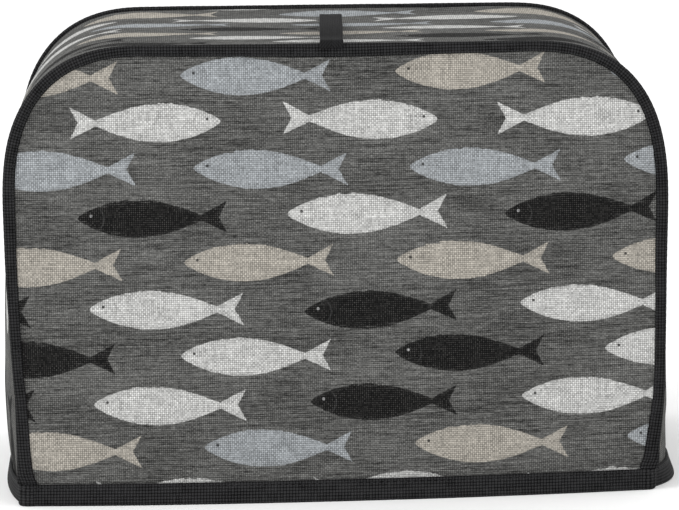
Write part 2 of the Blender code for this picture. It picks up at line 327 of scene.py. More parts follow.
def mesh_of(name, points, faces, corner_uv):
    mesh = bpy.data.meshes.new(name)
    mesh.from_pydata(points.tolist(), [], [list(map(int, f)) for f in faces])
    layer = mesh.uv_layers.new(name="cloth")
    layer.data.foreach_set("uv", np.asarray(corner_uv, np.float32).ravel())
    mesh.validate()
    mesh.update()
    return mesh


def grid_faces(nu, nv, uv, wrap_u=False, wrap_v=False, flip=False):
    cu, cv = (nu if wrap_u else nu - 1), (nv if wrap_v else nv - 1)
    i, j = np.meshgrid(np.arange(cu), np.arange(cv), indexing="ij")
    i, j = i.ravel(), j.ravel()
    corners = [(i, j), (i + 1, j), (i + 1, j + 1), (i, j + 1)]
    if flip:
        corners.reverse()
    faces = np.stack([(a % nu) * nv + (b % nv) for a, b in corners], 1)
    return faces, np.stack([uv[a, b] for a, b in corners], 1)


def sheet_piece(name, points, uv, materials, thickness, flip):
    """A cloth: the grid is its middle layer, Solidify gives its two faces and its raw edges."""
    nu, nv = points.shape[:2]
    faces, corner_uv = grid_faces(nu, nv, uv, flip=flip)
    mesh = mesh_of(name, bend(points).reshape(-1, 3), faces, corner_uv)
    obj = link(name, mesh, materials)
    solid = obj.modifiers.new("Thickness", "SOLIDIFY")
    solid.thickness = thickness * MM
    solid.offset = 0.0
    solid.use_even_offset = True
    solid.material_offset = 1
    solid.material_offset_rim = 1
    return obj


def tube_piece(name, points, uv, materials, wrap_u, flip, angle=55.0):
    """A folded tape: points[i, k] runs out along the tape's outer face and back along its inner face."""
    nu, nv = points.shape[:2]
    faces, corner_uv = grid_faces(nu, nv, uv, wrap_u=wrap_u, wrap_v=True, flip=flip)
    faces, corner_uv = list(faces), list(corner_uv)
    if not wrap_u:  # close the two cut ends, across the tape's thickness
        half = nv // 2
        for base, turned, i in ((0, flip, 0), ((nu - 1) * nv, not flip, nu - 1)):
            for k in range(half - 1):
                quad = [k, k + 1, nv - 2 - k, nv - 1 - k]
                if turned:
                    quad.reverse()
                faces.append([base + q for q in quad])
                corner_uv.append([uv[i, q] for q in quad])
    mesh = mesh_of(
        name, bend(points).reshape(-1, 3), faces, np.concatenate([np.asarray(c).reshape(-1, 2) for c in corner_uv])
    )
    return link(name, mesh, materials, angle)


def stitch_piece(name, place, tangent, normal, material, length=2.3, width=0.42, sink=0.35):
    """A row of stitches: each a short thread that dips into the cloth at both ends. Arrays in the part's frame, metres."""
    rings, around = 7, 6
    t = np.linspace(-1, 1, rings)
    v, template = [], []
    for k in range(rings):
        r = width / 2 * math.sqrt(max(0.05, 1 - abs(t[k]) ** 3))
        lift = width * 0.32 - sink * abs(t[k]) ** 3
        for m in range(around):
            a = 2 * math.pi * m / around
            v.append((t[k] * length / 2, r * math.cos(a), lift + r * 0.8 * math.sin(a)))
    for k in range(rings - 1):
        for m in range(around):
            n = (m + 1) % around
            template.append(
                (k * around + m, k * around + n, (k + 1) * around + n, (k + 1) * around + m)
            )
    v = np.array(v) * MM
    side = np.cross(normal, tangent)
    pts = (
        place[:, None, :]
        + v[None, :, 0, None] * tangent[:, None, :]
        + v[None, :, 1, None] * side[:, None, :]
        + v[None, :, 2, None] * normal[:, None, :]
    )
    n = len(v)
    faces = [
        tuple(int(q) + k * n for q in f) for k in range(len(place)) for f in template
    ]
    for k in range(len(place)):
        faces.append(tuple(k * n + m for m in range(around))[::-1])
        faces.append(tuple(k * n + (rings - 1) * around + m for m in range(around)))
    mesh = bpy.data.meshes.new(name)
    mesh.from_pydata(pts.reshape(-1, 3).tolist(), [], faces)
    mesh.validate()
    mesh.update()
    return link(name, mesh, [material])


def unit(v):
    return v / np.maximum(np.linalg.norm(v, axis=-1, keepdims=True), 1e-12)


# ------------------------------------------------------------------ materials
class Graph:
    """Short words for the nodes of one material."""

    def __init__(self, name):
        self.material = bpy.data.materials.new(name)
        self.material.use_nodes = True
        self.tree = self.material.node_tree
        self.tree.nodes.clear()
        self.out = self.tree.nodes.new("ShaderNodeOutputMaterial")
        self.shader = self.tree.nodes.new("ShaderNodeBsdfPrincipled")
        self.tree.links.new(self.shader.outputs[0], self.out.inputs["Surface"])

    def put(self, value, socket):
        if isinstance(value, bpy.types.NodeSocket):
            self.tree.links.new(value, socket)
        else:
            socket.default_value = value

    def math(self, operation, *values, clamp=False):
        n = self.tree.nodes.new("ShaderNodeMath")
        n.operation, n.use_clamp = operation, clamp
        for v, s in zip(values, n.inputs):
            self.put(v, s)
        return n.outputs[0]

    def add(self, a, b):
        return self.math("ADD", a, b)

    def sub(self, a, b):
        return self.math("SUBTRACT", a, b)

    def mul(self, a, b, clamp=False):
        return self.math("MULTIPLY", a, b, clamp=clamp)

    def mad(self, a, b, c, clamp=False):
        return self.math("MULTIPLY_ADD", a, b, c, clamp=clamp)

    def span(self, value, low, high, to_low=0.0, to_high=1.0, smooth=True):
        n = self.tree.nodes.new("ShaderNodeMapRange")
        n.interpolation_type = "SMOOTHSTEP" if smooth else "LINEAR"
        for v, s in zip((value, low, high, to_low, to_high), n.inputs):
            self.put(v, s)
        return n.outputs[0]

    def vector(self, x, y, z=0.0):
        n = self.tree.nodes.new("ShaderNodeCombineXYZ")
        for v, s in zip((x, y, z), n.inputs):
            self.put(v, s)
        return n.outputs[0]

    def noise(self, x, y, z=0.0, detail=2.0, roughness=0.5):
        n = self.tree.nodes.new("ShaderNodeTexNoise")
        n.inputs["Scale"].default_value = 1.0
        n.inputs["Detail"].default_value = detail
        n.inputs["Roughness"].default_value = roughness
        self.put(self.vector(x, y, z), n.inputs["Vector"])
        return n.outputs["Fac"]

    def random(self, x, y=0.0, z=0.0):
        n = self.tree.nodes.new("ShaderNodeTexWhiteNoise")
        n.noise_dimensions = "3D"
        self.put(self.vector(x, y, z), n.inputs["Vector"])
        return n.outputs["Value"]

    def mix(self, factor, a, b, blend="MIX"):
        n = self.tree.nodes.new("ShaderNodeMix")
        n.data_type, n.blend_type = "RGBA", blend
        n.clamp_factor = True
        self.put(factor, n.inputs["Factor"])
        for v, s in ((a, n.inputs[6]), (b, n.inputs[7])):
            self.put((*v, 1.0) if isinstance(v, tuple) else v, s)
        return n.outputs[2]

    def shade(self, color, value):
        """A colour times a number."""
        n = self.tree.nodes.new("ShaderNodeVectorMath")
        n.operation = "SCALE"
        self.put(color, n.inputs[0])
        self.put(value, n.inputs["Scale"])
        return n.outputs[0]

    def curve(self, value, points):
        n = self.tree.nodes.new("ShaderNodeFloatCurve")
        line = n.mapping.curves[0]
        while len(line.points) < len(points):
            line.points.new(0.5, 0.5)
        for p, (x, y) in zip(line.points, points):
            p.location = (x, y)
        n.mapping.update()
        self.put(value, n.inputs["Value"])
        return n.outputs[0]

    def steps(self, value, colors):
        """One colour after another as value goes from 0 to 1."""
        n = self.tree.nodes.new("ShaderNodeValToRGB")
        ramp = n.color_ramp
        ramp.interpolation = "CONSTANT"
        while len(ramp.elements) < len(colors):
            ramp.elements.new(1.0)
        for k, c in enumerate(colors):
            ramp.elements[k].position = k / len(colors)
            ramp.elements[k].color = (*c, 1.0)
        self.put(value, n.inputs[0])
        return n.outputs[0]

    def place(self):
        """The cloth's own two directions, in millimetres."""
        uv = self.tree.nodes.new("ShaderNodeUVMap")
        uv.uv_map = "cloth"
        parts = self.tree.nodes.new("ShaderNodeSeparateXYZ")
        self.put(uv.outputs[0], parts.inputs[0])
        return self.mul(parts.outputs[0], 1000.0), self.mul(parts.outputs[1], 1000.0)

    def weave(self, u, v, pitch, waver=0.0):
        """Plain weave: height of the threads, 0 in the gaps to 1 on a thread's back, and which way the top one runs."""
        if waver:
            u = self.mad(self.noise(self.mul(u, 0.05), self.mul(v, 0.16)), waver, u)
            v = self.mad(self.noise(self.mul(u, 0.16), self.mul(v, 0.05), 7.0), waver, v)
        a = self.math("SINE", self.mul(u, math.pi / pitch))
        b = self.math("SINE", self.mul(v, math.pi / pitch))
        over = self.mad(self.mul(a, b), 0.5, 0.5)
        one = self.mul(self.math("POWER", self.math("ABSOLUTE", a), 0.6), over)
        two = self.mul(
            self.math("POWER", self.math("ABSOLUTE", b), 0.6), self.sub(1.0, over)
        )
        return self.math("MAXIMUM", one, two), over, u, v

    def bump(self, height, strength, distance):
        n = self.tree.nodes.new("ShaderNodeBump")
        n.inputs["Strength"].default_value = strength
        n.inputs["Distance"].default_value = distance
        self.put(height, n.inputs["Height"])
        self.put(n.outputs[0], self.shader.inputs["Normal"])

    def finish(self, color, roughness, sheen=0.0, sheen_roughness=0.5, specular=0.3):
        self.put(color, self.shader.inputs["Base Color"])
        self.put(roughness, self.shader.inputs["Roughness"])
        self.shader.inputs["Specular IOR Level"].default_value = specular
        if sheen:
            self.shader.inputs["Sheen Weight"].default_value = sheen
            self.shader.inputs["Sheen Roughness"].default_value = sheen_roughness
        return self.material


def srgb(*values):
    return tuple(
        (v / 255 / 12.92) if v <= 10.3 else ((v / 255 + 0.055) / 1.055) ** 2.4
        for v in values
    )


# The print: rows of plain fish on a brushed grey ground. The fish are drawn from the curves below.
ROW, REPEAT = 20.6, 94.0  # from row to row, and from fish to fish along a row
FISH_LONG, FISH_HIGH = 67.0, 17.0
HALF_HEIGHT = (  # along the fish from its nose, as a share of half its greatest height; the tail is apart
    (0.0, 0.0),
    (0.015, 0.15),
    (0.06, 0.36),
    (0.14, 0.64),
    (0.25, 0.88),
    (0.37, 1.0),
    (0.50, 0.95),
    (0.64, 0.71),
    (0.76, 0.38),
    (0.83, 0.17),
    (0.90, 0.03),
    (1.0, 0.0),
)
WHITE = srgb(186, 186, 184)
BLUE = srgb(147, 151, 154)
SAND = srgb(160, 155, 146)
BLACK = srgb(19, 19, 19)
FISH_COLORS = (  # two a row, from the hem up; the order is the builder's own
    (SAND, BLUE),
    (WHITE, BLACK),
    (BLACK, WHITE),
    (WHITE, BLACK),
    (SAND, SAND),
    (BLACK, WHITE),
    (BLUE, BLUE),
    (WHITE, WHITE),
)


def printed_color(g, u, v, phase_u, phase_v):
    """Colour of the print at (u, v) mm."""
    v = g.sub(v, phase_v)
    row = g.math("FLOOR", g.math("DIVIDE", v, ROW))
    ly = g.sub(g.sub(v, g.mul(row, ROW)), ROW / 2)
    odd = g.math("FLOORED_MODULO", row, 2.0)
    drift = g.mad(g.random(row, 3.0), 12.0, -6.0)
    along = g.add(g.sub(g.sub(u, phase_u), g.mul(odd, REPEAT / 2)), drift)
    column = g.math("FLOOR", g.math("DIVIDE", along, REPEAT))
    lx = g.sub(g.sub(along, g.mul(column, REPEAT)), REPEAT / 2)
    kind = g.math("FLOORED_MODULO", row, 8.0)
    second = g.math("FLOORED_MODULO", column, 2.0)
    # a little difference from fish to fish
    h1, h2, h3 = (g.random(column, row, k) for k in (1.0, 2.0, 3.0))
    turned = g.math("COMPARE", kind, 7.0, 0.5)
    lx = g.mul(lx, g.mad(turned, -2.0, 1.0))
    ly = g.add(g.sub(ly, g.mad(h1, 1.6, -0.8)), g.mul(lx, g.mad(h2, 0.05, -0.025)))
    size = g.mad(h3, 0.09, 0.955)
    t = g.add(g.math("DIVIDE", lx, g.mul(size, FISH_LONG)), 0.5)
    tail = g.mul(g.span(t, 0.80, 1.0, 0.04, 0.84, smooth=False), g.math("GREATER_THAN", t, 0.78))
    half = g.math("MAXIMUM", g.curve(t, HALF_HEIGHT), tail)
    half = g.mul(half, g.mul(size, FISH_HIGH / 2))
    # the belly hangs a little lower than the back rises
    spine = g.mul(g.math("SINE", g.mul(t, math.pi)), -0.45)
    dy = g.sub(ly, spine)
    away = g.math("ABSOLUTE", dy)
    # the brush leaves a ragged rim, most of all along the back
    rag = g.noise(g.mul(u, 0.28), g.mul(v, 0.9), 0.0, 3.0, 0.6)
    fine = g.noise(g.mul(u, 1.1), g.mul(v, 2.6), 4.0, 2.0, 0.6)
    back = g.mul(
        g.span(dy, 0.0, 3.0), g.mul(g.span(t, 0.12, 0.28), g.span(t, 0.62, 0.4))
    )
    rim = g.add(
        g.mul(g.sub(rag, 0.5), g.mad(back, 2.0, 1.1)), g.mul(g.sub(fine, 0.5), 0.35)
    )
    inside = g.add(g.sub(half, away), rim)
    # the tail's end is hollow, with pointed lobes
    hollow = g.mul(g.span(away, 6.6, 0.0, 0.0, 1.0, smooth=False), 0.052)
    tail_end = g.mul(g.sub(g.sub(1.0, hollow), t), FISH_LONG)
    tail_end = g.add(tail_end, g.mul(g.sub(rag, 0.5), 1.6))
    inside = g.math("MINIMUM", inside, tail_end)
    inside = g.math("MINIMUM", inside, g.mul(t, 60.0))
    mask = g.span(inside, -0.18, 0.32)

    # ground: charcoal with long fine brush streaks, light and dark
    streak = g.noise(g.mul(u, 0.05), g.mul(v, 1.2), 0.0, 4.0, 0.66)
    hair = g.noise(g.mul(u, 0.28), g.mul(v, 2.8), 9.0, 3.0, 0.62)
    patch = g.noise(g.mul(u, 0.018), g.mul(v, 0.06), 3.0, 2.0, 0.5)
    tone = g.add(
        g.mad(g.sub(streak, 0.5), 2.7, 0.5),
        g.add(g.mul(g.sub(hair, 0.5), 2.3), g.mul(g.sub(patch, 0.5), 0.8)),
    )
    ground = g.mix(
        g.span(tone, 0.0, 1.0, smooth=False), srgb(44, 44, 43), srgb(112, 112, 110)
    )

    # fish: the same brush, drier towards the tail
    base = g.steps(
        g.math("DIVIDE", g.add(g.mad(kind, 2.0, second), 0.5), 16.0),
        [c for pair in FISH_COLORS for c in pair],
    )
    stroke = g.noise(g.mul(u, 0.07), g.mul(v, 1.2), 21.0, 4.0, 0.65)
    cloud = g.noise(g.mul(u, 0.09), g.mul(v, 0.2), 33.0, 3.0, 0.6)
    lit = g.add(g.mad(g.sub(stroke, 0.5), 0.95, 1.0), g.mul(g.sub(cloud, 0.5), 0.42))
    paint = g.shade(base, lit)
    value = g.tree.nodes.new("ShaderNodeRGBToBW")
    g.put(base, value.inputs[0])
    dark = g.math("LESS_THAN", value.outputs[0], 0.05)
    pale = g.math("GREATER_THAN", value.outputs[0], 0.6)
    eye_x = g.sub(g.mul(t, FISH_LONG), 6.0)
    eye_y = g.sub(dy, 1.15)
    eye = g.span(
        g.math(
            "SQRT", g.add(g.mul(eye_x, eye_x), g.mul(eye_y, eye_y))
        ),
        0.85,
        0.45,
    )
    gill_x = g.sub(g.mul(t, FISH_LONG), 6.2)
    gill = g.math(
        "ABSOLUTE",
        g.sub(g.math("SQRT", g.add(g.mul(gill_x, gill_x), g.mul(dy, dy))), 5.6),
    )
    gill = g.mul(g.span(gill, 0.55, 0.1), g.span(gill_x, 3.4, 4.6))
    gill = g.mul(gill, g.mul(g.noise(g.mul(u, 0.8), g.mul(v, 0.8), 2.0), 0.5))
    paint = g.mix(gill, paint, g.mix(dark, srgb(96, 94, 92), srgb(84, 84, 84)))
    paint = g.mix(
        g.mul(eye, 0.9), paint, g.mix(dark, srgb(36, 36, 36), srgb(150, 150, 150))
    )
    # dry brush: the ground shows in thin streaks, more so in the darker paints and near the rim
    dry = g.noise(g.mul(u, 0.11), g.mul(v, 2.3), 51.0, 3.0, 0.7)
    thin = g.mad(pale, -0.22, 0.62)
    near_rim = g.span(inside, 3.2, 0.0)
    cover = g.span(
        dry,
        g.mad(near_rim, -0.12, 0.60),
        g.mad(near_rim, -0.08, 0.76),
        1.0,
        g.mad(thin, -1.0, 1.0),
    )
    return g.mix(g.mul(mask, cover), ground, paint), streak


def canvas(name, phase_u, phase_v, reverse=False):
    g = Graph(name)
    u, v = g.place()
    height, over, wu, wv = g.weave(u, v, WEAVE, 0.3)
    color, streak = printed_color(g, u, v, phase_u, phase_v)
    # threads differ in thickness and in how much colour they took
    across_thread = g.math("FLOOR", g.math("DIVIDE", wu, WEAVE))
    along_thread = g.math("FLOOR", g.math("DIVIDE", wv, WEAVE))
    slub = g.add(
        g.mul(g.sub(g.noise(across_thread, g.mul(v, 0.05), 5.0, 1.0), 0.5), 0.44),
        g.mul(g.sub(g.noise(g.mul(u, 0.05), along_thread, 8.0, 1.0), 0.5), 0.34),
    )
    cell = g.mul(g.sub(g.random(across_thread, along_thread), 0.5), 0.34)
    # painted highlight: the raised thread tops are mixed toward a light grey, by a random amount from thread to thread
    thread_top_highlight = g.mul(
        g.span(height, 0.5, 0.95), g.mad(g.random(across_thread, along_thread, 3.0), 0.22, 0.02)
    )
    color = g.mix(thread_top_highlight, color, srgb(112, 110, 107))
    if reverse:  # the back of the cloth: unprinted, with a shadow of the print
        color = g.mix(0.16, srgb(196, 192, 184), color)
    # painted shade: the threads that run up are painted a little darker, as if they lay a little deeper than those that
    # run across
    painted_deeper_thread_shade = g.mul(g.sub(over, 0.5), 0.34)
    # painted shade: the colour is darkened in the gaps of the weave by the thread height; slub and cell are the
    # threads' own tone
    shade = g.add(g.mad(height, 1.35, 0.10), g.add(painted_deeper_thread_shade, g.add(slub, cell)))
    color = g.shade(color, shade)
    g.bump(g.add(height, g.mul(slub, 1.5)), 0.7, 0.00022)
    rough = g.mad(height, -0.06, 0.92)
    return g.finish(color, rough, specular=0.08)


def tape_material(name, low, high, pitch=1.35):
    """Black woven tape. u runs along it and v across it."""
    g = Graph(name)
    u, v = g.place()
    height, over, wu, wv = g.weave(u, v, pitch, 0.2)
    thread = g.math("FLOOR", g.math("DIVIDE", wu, pitch))
    slub = g.mul(g.sub(g.noise(thread, g.mul(v, 0.2), 2.0, 1.0), 0.5), 0.5)
    worn = g.noise(g.mul(u, 0.06), g.mul(v, 0.25), 6.0, 3.0, 0.6)
    # painted shade: the tape is darker in the gaps of the weave, by the thread height; slub and worn add the tape's own
    # uneven tone
    tone = g.add(g.mad(height, 1.1, -0.24), g.add(slub, g.mul(g.sub(worn, 0.5), 0.6)))
    color = g.mix(g.span(tone, 0.0, 1.0, smooth=False), low, high)
    lint = g.noise(g.mul(u, 1.3), g.mul(v, 1.3), 14.0, 2.0, 0.6)
    color = g.mix(g.mul(g.span(lint, 0.70, 0.80), 0.25), color, srgb(84, 84, 86))
    g.bump(g.add(height, g.mul(slub, 0.6)), 0.8, 0.00018)
    rough = g.mad(height, -0.10, 0.76)
    return g.finish(color, rough, specular=0.05)


def webbing_material(name):
    """Black webbing: close ribs across, a chevron of the long threads."""
    g = Graph(name)
    u, v = g.place()  # u across the strap from its middle, v along it
    side = g.math("ABSOLUTE", u)
    slope = g.add(v, g.mul(side, 0.8))
    rib = g.math("ABSOLUTE", g.math("SINE", g.mul(slope, math.pi / 1.1)))
    long_thread = g.math("ABSOLUTE", g.math("SINE", g.mul(u, math.pi / 0.75)))
    height = g.mad(rib, 0.6, g.mul(long_thread, 0.4))
    # painted shade: the webbing is darker in the grooves between ribs and threads, by their height; the noise adds
    # uneven tone
    tone = g.add(
        g.mul(height, 0.8),
        g.mul(g.sub(g.noise(g.mul(u, 0.9), g.mul(v, 0.2), 3.0), 0.5), 0.5),
    )
    color = g.mix(g.span(tone, 0.0, 1.0, smooth=False), srgb(4, 4, 4), srgb(42, 42, 43))
    g.bump(height, 0.8, 0.0002)
    rough = g.mad(height, -0.10, 0.80)
    return g.finish(color, rough, specular=0.03)


def thread_material(name):
    g = Graph(name)
    coord = g.tree.nodes.new("ShaderNodeTexCoord")
    n = g.tree.nodes.new("ShaderNodeTexNoise")
    n.inputs["Scale"].default_value = 2600.0
    n.inputs["Detail"].default_value = 1.0
    g.put(coord.outputs["Object"], n.inputs["Vector"])
    color = g.mix(n.outputs["Fac"], srgb(8, 8, 9), srgb(40, 40, 42))
    g.bump(n.outputs["Fac"], 0.5, 0.0001)
    return g.finish(color, g.mad(n.outputs["Fac"], -0.2, 0.6), specular=0.2)


front_print = canvas("canvas_front", 0.0, 13.8)
back_print = canvas("canvas_back", 31.0, 13.8)
side_print = canvas("canvas_gusset", 18.0, 4.0)
front_reverse = canvas("canvas_front_reverse", 0.0, 13.8, True)
back_reverse = canvas("canvas_back_reverse", 31.0, 13.8, True)
side_reverse = canvas("canvas_gusset_reverse", 18.0, 4.0, True)
tape_front = tape_material("tape_front", srgb(3, 3, 3), srgb(53, 53, 54))
tape_back = tape_material("tape_back", srgb(3, 3, 3), srgb(53, 53, 54))
tape_hem = tape_material("tape_hem", srgb(3, 3, 3), srgb(56, 56, 57))
webbing = webbing_material("webbing")
thread = thread_material("sewing_thread")


# ------------------------------------------------------------------ panels
def panel_edge_lines():
    """The panel's own edge as x over z, on each side."""
    row = stations(BINDING_FOOT + 0.3, 0.8)
    x = row["x"] + (PANEL_EDGE - SEAM_RISE) * row["nx"]
    z = row["z"] + (PANEL_EDGE - SEAM_RISE) * row["nz"]
    left = row["side"] < 0
    return (x[left], z[left]), (x[~left][::-1], z[~left][::-1])


def make_panel(name, node, facing, materials):
    (lx, lz), (rx, rz) = panel_edge_lines()
    top = TOP_Z + PANEL_EDGE - SEAM_RISE
    heights = [CLOTH_FOOT, 6.0, 9.7] + list(np.arange(10.2, 150.0, 1.9))
    while top - heights[-1] > 0.3:  # closer rows where the corner turns over
        heights.append(heights[-1] + max(0.35, min(1.9, (top - heights[-1]) * 0.11)))
    heights[-1] = top
    heights = np.array(heights)
    columns = 150
    share = (1 - np.cos(np.linspace(0, math.pi, columns + 1))) / 2
    share = 0.5 * share + 0.5 * np.linspace(0, 1, columns + 1)
    points = np.zeros((len(heights), columns + 1, 3))
    for k, z in enumerate(heights):
        if z < BINDING_FOOT:
            left, right_x = -hem_front_reach(-1, z) + 0.4, hem_front_reach(1, z) - 0.4
        else:
            left = np.interp(z, np.maximum.accumulate(lz), lx)
            right_x = np.interp(z, np.maximum.accumulate(rz), rx)
        x = left + (right_x - left) * share
        points[k, :, 0] = x
        points[k, :, 2] = z
        points[k, :, 1] = facing * (DEPTH / 2 - CLOTH / 2 + crown(x, np.full_like(x, z), facing))
    uv = np.stack([points[..., 0] * -facing + 170.0, points[..., 2]], -1) * MM
    obj = sheet_piece(name, points, uv, materials, CLOTH, flip=facing < 0)
    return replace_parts(obj, node)


def make_gusset(name, node, materials):
    row = stations(CLOTH_FOOT, 2.0)
    count = 96
    share = np.linspace(-1, 1, count + 1)
    low = row["z"] < BINDING_FOOT
    reach = np.where(low, CLOTH_SIDE_REACH - 0.4, DEPTH / 2 - CLOTH - GAP)
    y = reach[:, None] * share[None, :]
    side = row["side"][:, None]
    calm = np.clip((row["z"] - 9.0) / 12.0, 0, 1)[:, None]
    out = (
        row["swell"][:, None] * swell_share(side, y, row["middle"][:, None])
        - SEAM_RISE
        - CLOTH / 2
        + (gusset_bumps(row["s"][:, None], y) + back_rise(y)) * calm
    )
    points = np.stack(
        [
            row["x"][:, None] + out * row["nx"][:, None],
            y,
            row["z"][:, None] + out * row["nz"][:, None],
        ],
        -1,
    )
    uv = np.stack([np.broadcast_to(row["s"][:, None] + 10, y.shape), y + 100.0], -1) * MM
    obj = sheet_piece(name, points, uv, materials, CLOTH, flip=False)
    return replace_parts(obj, node)


# ------------------------------------------------------------------ seam bindings
LEG, ARC = 9, 11
STITCH_IN = 1.35  # the stitch line's distance from the tape's free edge


def binding_section(tape, puff, facing):
    """Outer and inner points of the fold, as (outside the gusset's face, behind the panel's face)."""
    middle = CLOTH / 2
    outer, inner = middle + GAP + TAPE, middle + GAP
    centre = SEAM_RISE - outer * math.cos(math.radians(30))
    edge = SEAM_RISE - tape
    outside, inside = [], []
    for k in range(LEG):
        t = k / LEG
        out = edge + (centre - edge) * t
        at_stitch = math.exp(-(((out - edge - STITCH_IN) / 0.55) ** 2))
        rise = 0.35 + 0.55 * min(1.0, t * 5.0) + 0.42 * math.sin(math.pi * t) ** 0.8
        thick = TAPE * (rise * (1 + 0.10 * puff) - 0.34 * at_stitch * (1 - 0.35 * puff))
        outside.append((out + (0.0 if k else 0.04), -GAP - max(0.25, thick)))
        inside.append((out, -GAP))
    for k in range(ARC):
        a = math.radians(-90 + 180 * k / (ARC - 1))
        grown = outer * (1 + 0.035 * puff)
        outside.append((centre + grown * math.cos(a), middle + grown * math.sin(a)))
        inside.append((centre + inner * math.cos(a), middle + inner * math.sin(a)))
    foot = 0.36 if facing < 0 else 1.16
    outside.append((foot, middle + outer * 0.98))
    inside.append((foot, middle + inner))
    return outside + inside[::-1]


tape_slow = waves(31, 5, 25, 60)


def binding_points(facing):
    row = stations(BINDING_FOOT, 1.0)
    s = row["s"]
    puff = -np.cos(2 * math.pi * (s - s[0]) / 3.0) * 0.6 + 0.7 * tape_slow(s, facing * 30.0)
    sections = np.array([binding_section(t, p, facing) for t, p in zip(row["tape"], puff)])
    out = sections[..., 0] - SEAM_RISE
    x = row["x"][:, None] + out * row["nx"][:, None]
    z = np.maximum(row["z"][:, None] + out * row["nz"][:, None], BINDING_FOOT)
    y = facing * (DEPTH / 2 - sections[..., 1] + crown(x, z, facing))
    return row, sections, np.stack([x, y, z], -1)


def make_binding(name, node, facing, material):
    row, sections, points = binding_points(facing)
    step = np.linalg.norm(np.diff(sections, axis=1, append=sections[:, :1]), axis=-1)
    across_it = np.concatenate([np.zeros((len(step), 1)), np.cumsum(step, 1)], 1)
    along = np.broadcast_to((row["s"] - row["s"][0])[:, None], across_it.shape)
    uv = np.stack([along + 10, across_it + 5], -1) * MM
    obj = tube_piece(name, points, uv, [material], False, flip=facing < 0)
    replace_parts(obj, node)
    # the stitch line runs along the tape's free edge
    marks = np.arange(row["s"][0] + 3.0, row["s"][-1] - 2.5, 3.0)
    k0 = STITCH_IN
    centre = SEAM_RISE - 1.8 * math.cos(math.radians(30))

    def at(s, inset, lift):
        """A point on the tape's face, inset from its free edge."""
        r = {q: np.interp(s, row["s"], row[q]) for q in ("x", "z", "tape")}
        nx, nz = np.interp(s, row["s"], row["nx"]), np.interp(s, row["s"], row["nz"])
        out = -r["tape"] + inset
        x, z = r["x"] + out * nx, r["z"] + out * nz
        y = facing * (DEPTH / 2 + GAP + TAPE * 0.62 + lift + crown(x, z, facing))
        return bend(np.stack([x, y, z], -1))

    here = at(marks, k0, 0.0)
    tangent = unit(at(marks + 0.8, k0, 0.0) - at(marks - 0.8, k0, 0.0))
    inward = unit(at(marks, k0 + 0.6, 0.0) - at(marks, k0 - 0.6, 0.0))
    normal = unit(np.cross(tangent, inward))
    normal *= np.sign(normal[:, 1:2] * facing)
    stitches = stitch_piece(name + "_stitches", here, tangent, normal, thread)
    return obj, stitches


# ------------------------------------------------------------------ hem band
def hem_stations():
    """Stations round the hem, anticlockwise from above: (part, side, share of that part)."""
    loop = []
    for part, side, steps in (
        ("front", 0, 190),
        ("front corner", 1, 12),
        ("right", 1, 120),
        ("back corner", 1, 12),
        ("back", 0, 190),
        ("back corner", -1, 12),
        ("left", -1, 120),
        ("front corner", -1, 12),
    ):
        loop += [(part, side, k / steps) for k in range(steps)]
    return loop


HEM_LOOP = hem_stations()


def corner_curve(side, facing, z, t):
    a = float(half_width[side](z)) - SEAM_RISE - CLOTH / 2
    b = DEPTH / 2 - CLOTH / 2
    start = (a - HEM_CORNER, b + float(crown(np.array(a - HEM_CORNER), np.array(z))))
    end = (a, b - HEM_CORNER)
    reach = CLOTH_SIDE_REACH - facing * float(swell_middle[side](z))
    lean = float(side_swell[side](z)) * SWELL_POWER[side] / reach
    knee = (
        a + HEM_CORNER_PUSH - lean * HEM_CORNER / 2,
        b + HEM_CORNER_PUSH * 0.6,
    )
    x = (1 - t) ** 2 * start[0] + 2 * t * (1 - t) * knee[0] + t**2 * end[0]
    y = (1 - t) ** 2 * start[1] + 2 * t * (1 - t) * knee[1] + t**2 * end[1]
    return side * x, facing * y


def hem_line(z):
    """The cloth's middle layer all round at one height."""
    points = np.zeros((len(HEM_LOOP), 2))
    flare = np.zeros(len(HEM_LOOP))
    for k, (part, side, t) in enumerate(HEM_LOOP):
        if part in ("front", "back"):
            facing = -1 if part == "front" else 1
            left, right_x = -hem_front_reach(-1, z), hem_front_reach(1, z)
            share = t if part == "front" else 1 - t
            x = float(left + (right_x - left) * share)
            points[k] = x, facing * (DEPTH / 2 - CLOTH / 2 + float(crown(np.array(x), np.array(z), facing)))
        elif part in ("left", "right"):
            y = CLOTH_SIDE_REACH * (2 * t - 1) * side
            a = float(half_width[side](z)) - SEAM_RISE - CLOTH / 2
            share = float(swell_share(np.array(side), np.array(y), float(swell_middle[side](z))))
            points[k] = side * (a + float(side_swell[side](z)) * share), y
            flare[k] = HEM_FLARE[side] * share
        else:
            facing = -1 if part == "front corner" else 1
            to_gusset = t if facing * side < 0 else 1 - t
            points[k] = corner_curve(side, facing, z, to_gusset)
    return points, flare


def hem_section():
    """Outer points from the top edge down and round the foot, then the inner points back: (out, height)."""
    half_in = CLOTH / 2 + HEM_GAP
    half_out = half_in + HEM_TAPE
    outside, inside = [], []
    for z in (9.5, 9.25, 8.7, 8.1, 7.5, 6.8, 5.6, 4.4, 3.2, 2.2, 1.4):
        t = (HEM_Z - z) / HEM_Z
        groove = 0.28 * math.exp(-(((z - 7.9) / 0.5) ** 2))
        lip = 0.30 if z > 9.4 else (0.08 if z > 9.0 else 0.0)
        outside.append((half_out - lip - groove + 0.12 * math.sin(math.pi * t), z))
        inside.append((half_in, max(z, HEM_TAPE)))
    for a in (0, 22, 45, 68, 90):
        r = 0.9
        outside.append(
            (half_out - r + r * math.cos(math.radians(a)), r - r * math.sin(math.radians(a)))
        )
        inside.append((half_in * (1 - a / 120), HEM_TAPE))
    full_out = outside + [(-p[0], p[1]) for p in outside[::-1]]
    full_in = inside + [(-p[0], p[1]) for p in inside[::-1]]
    return full_out, full_in


hem_slow = waves(41, 5, 30, 80)


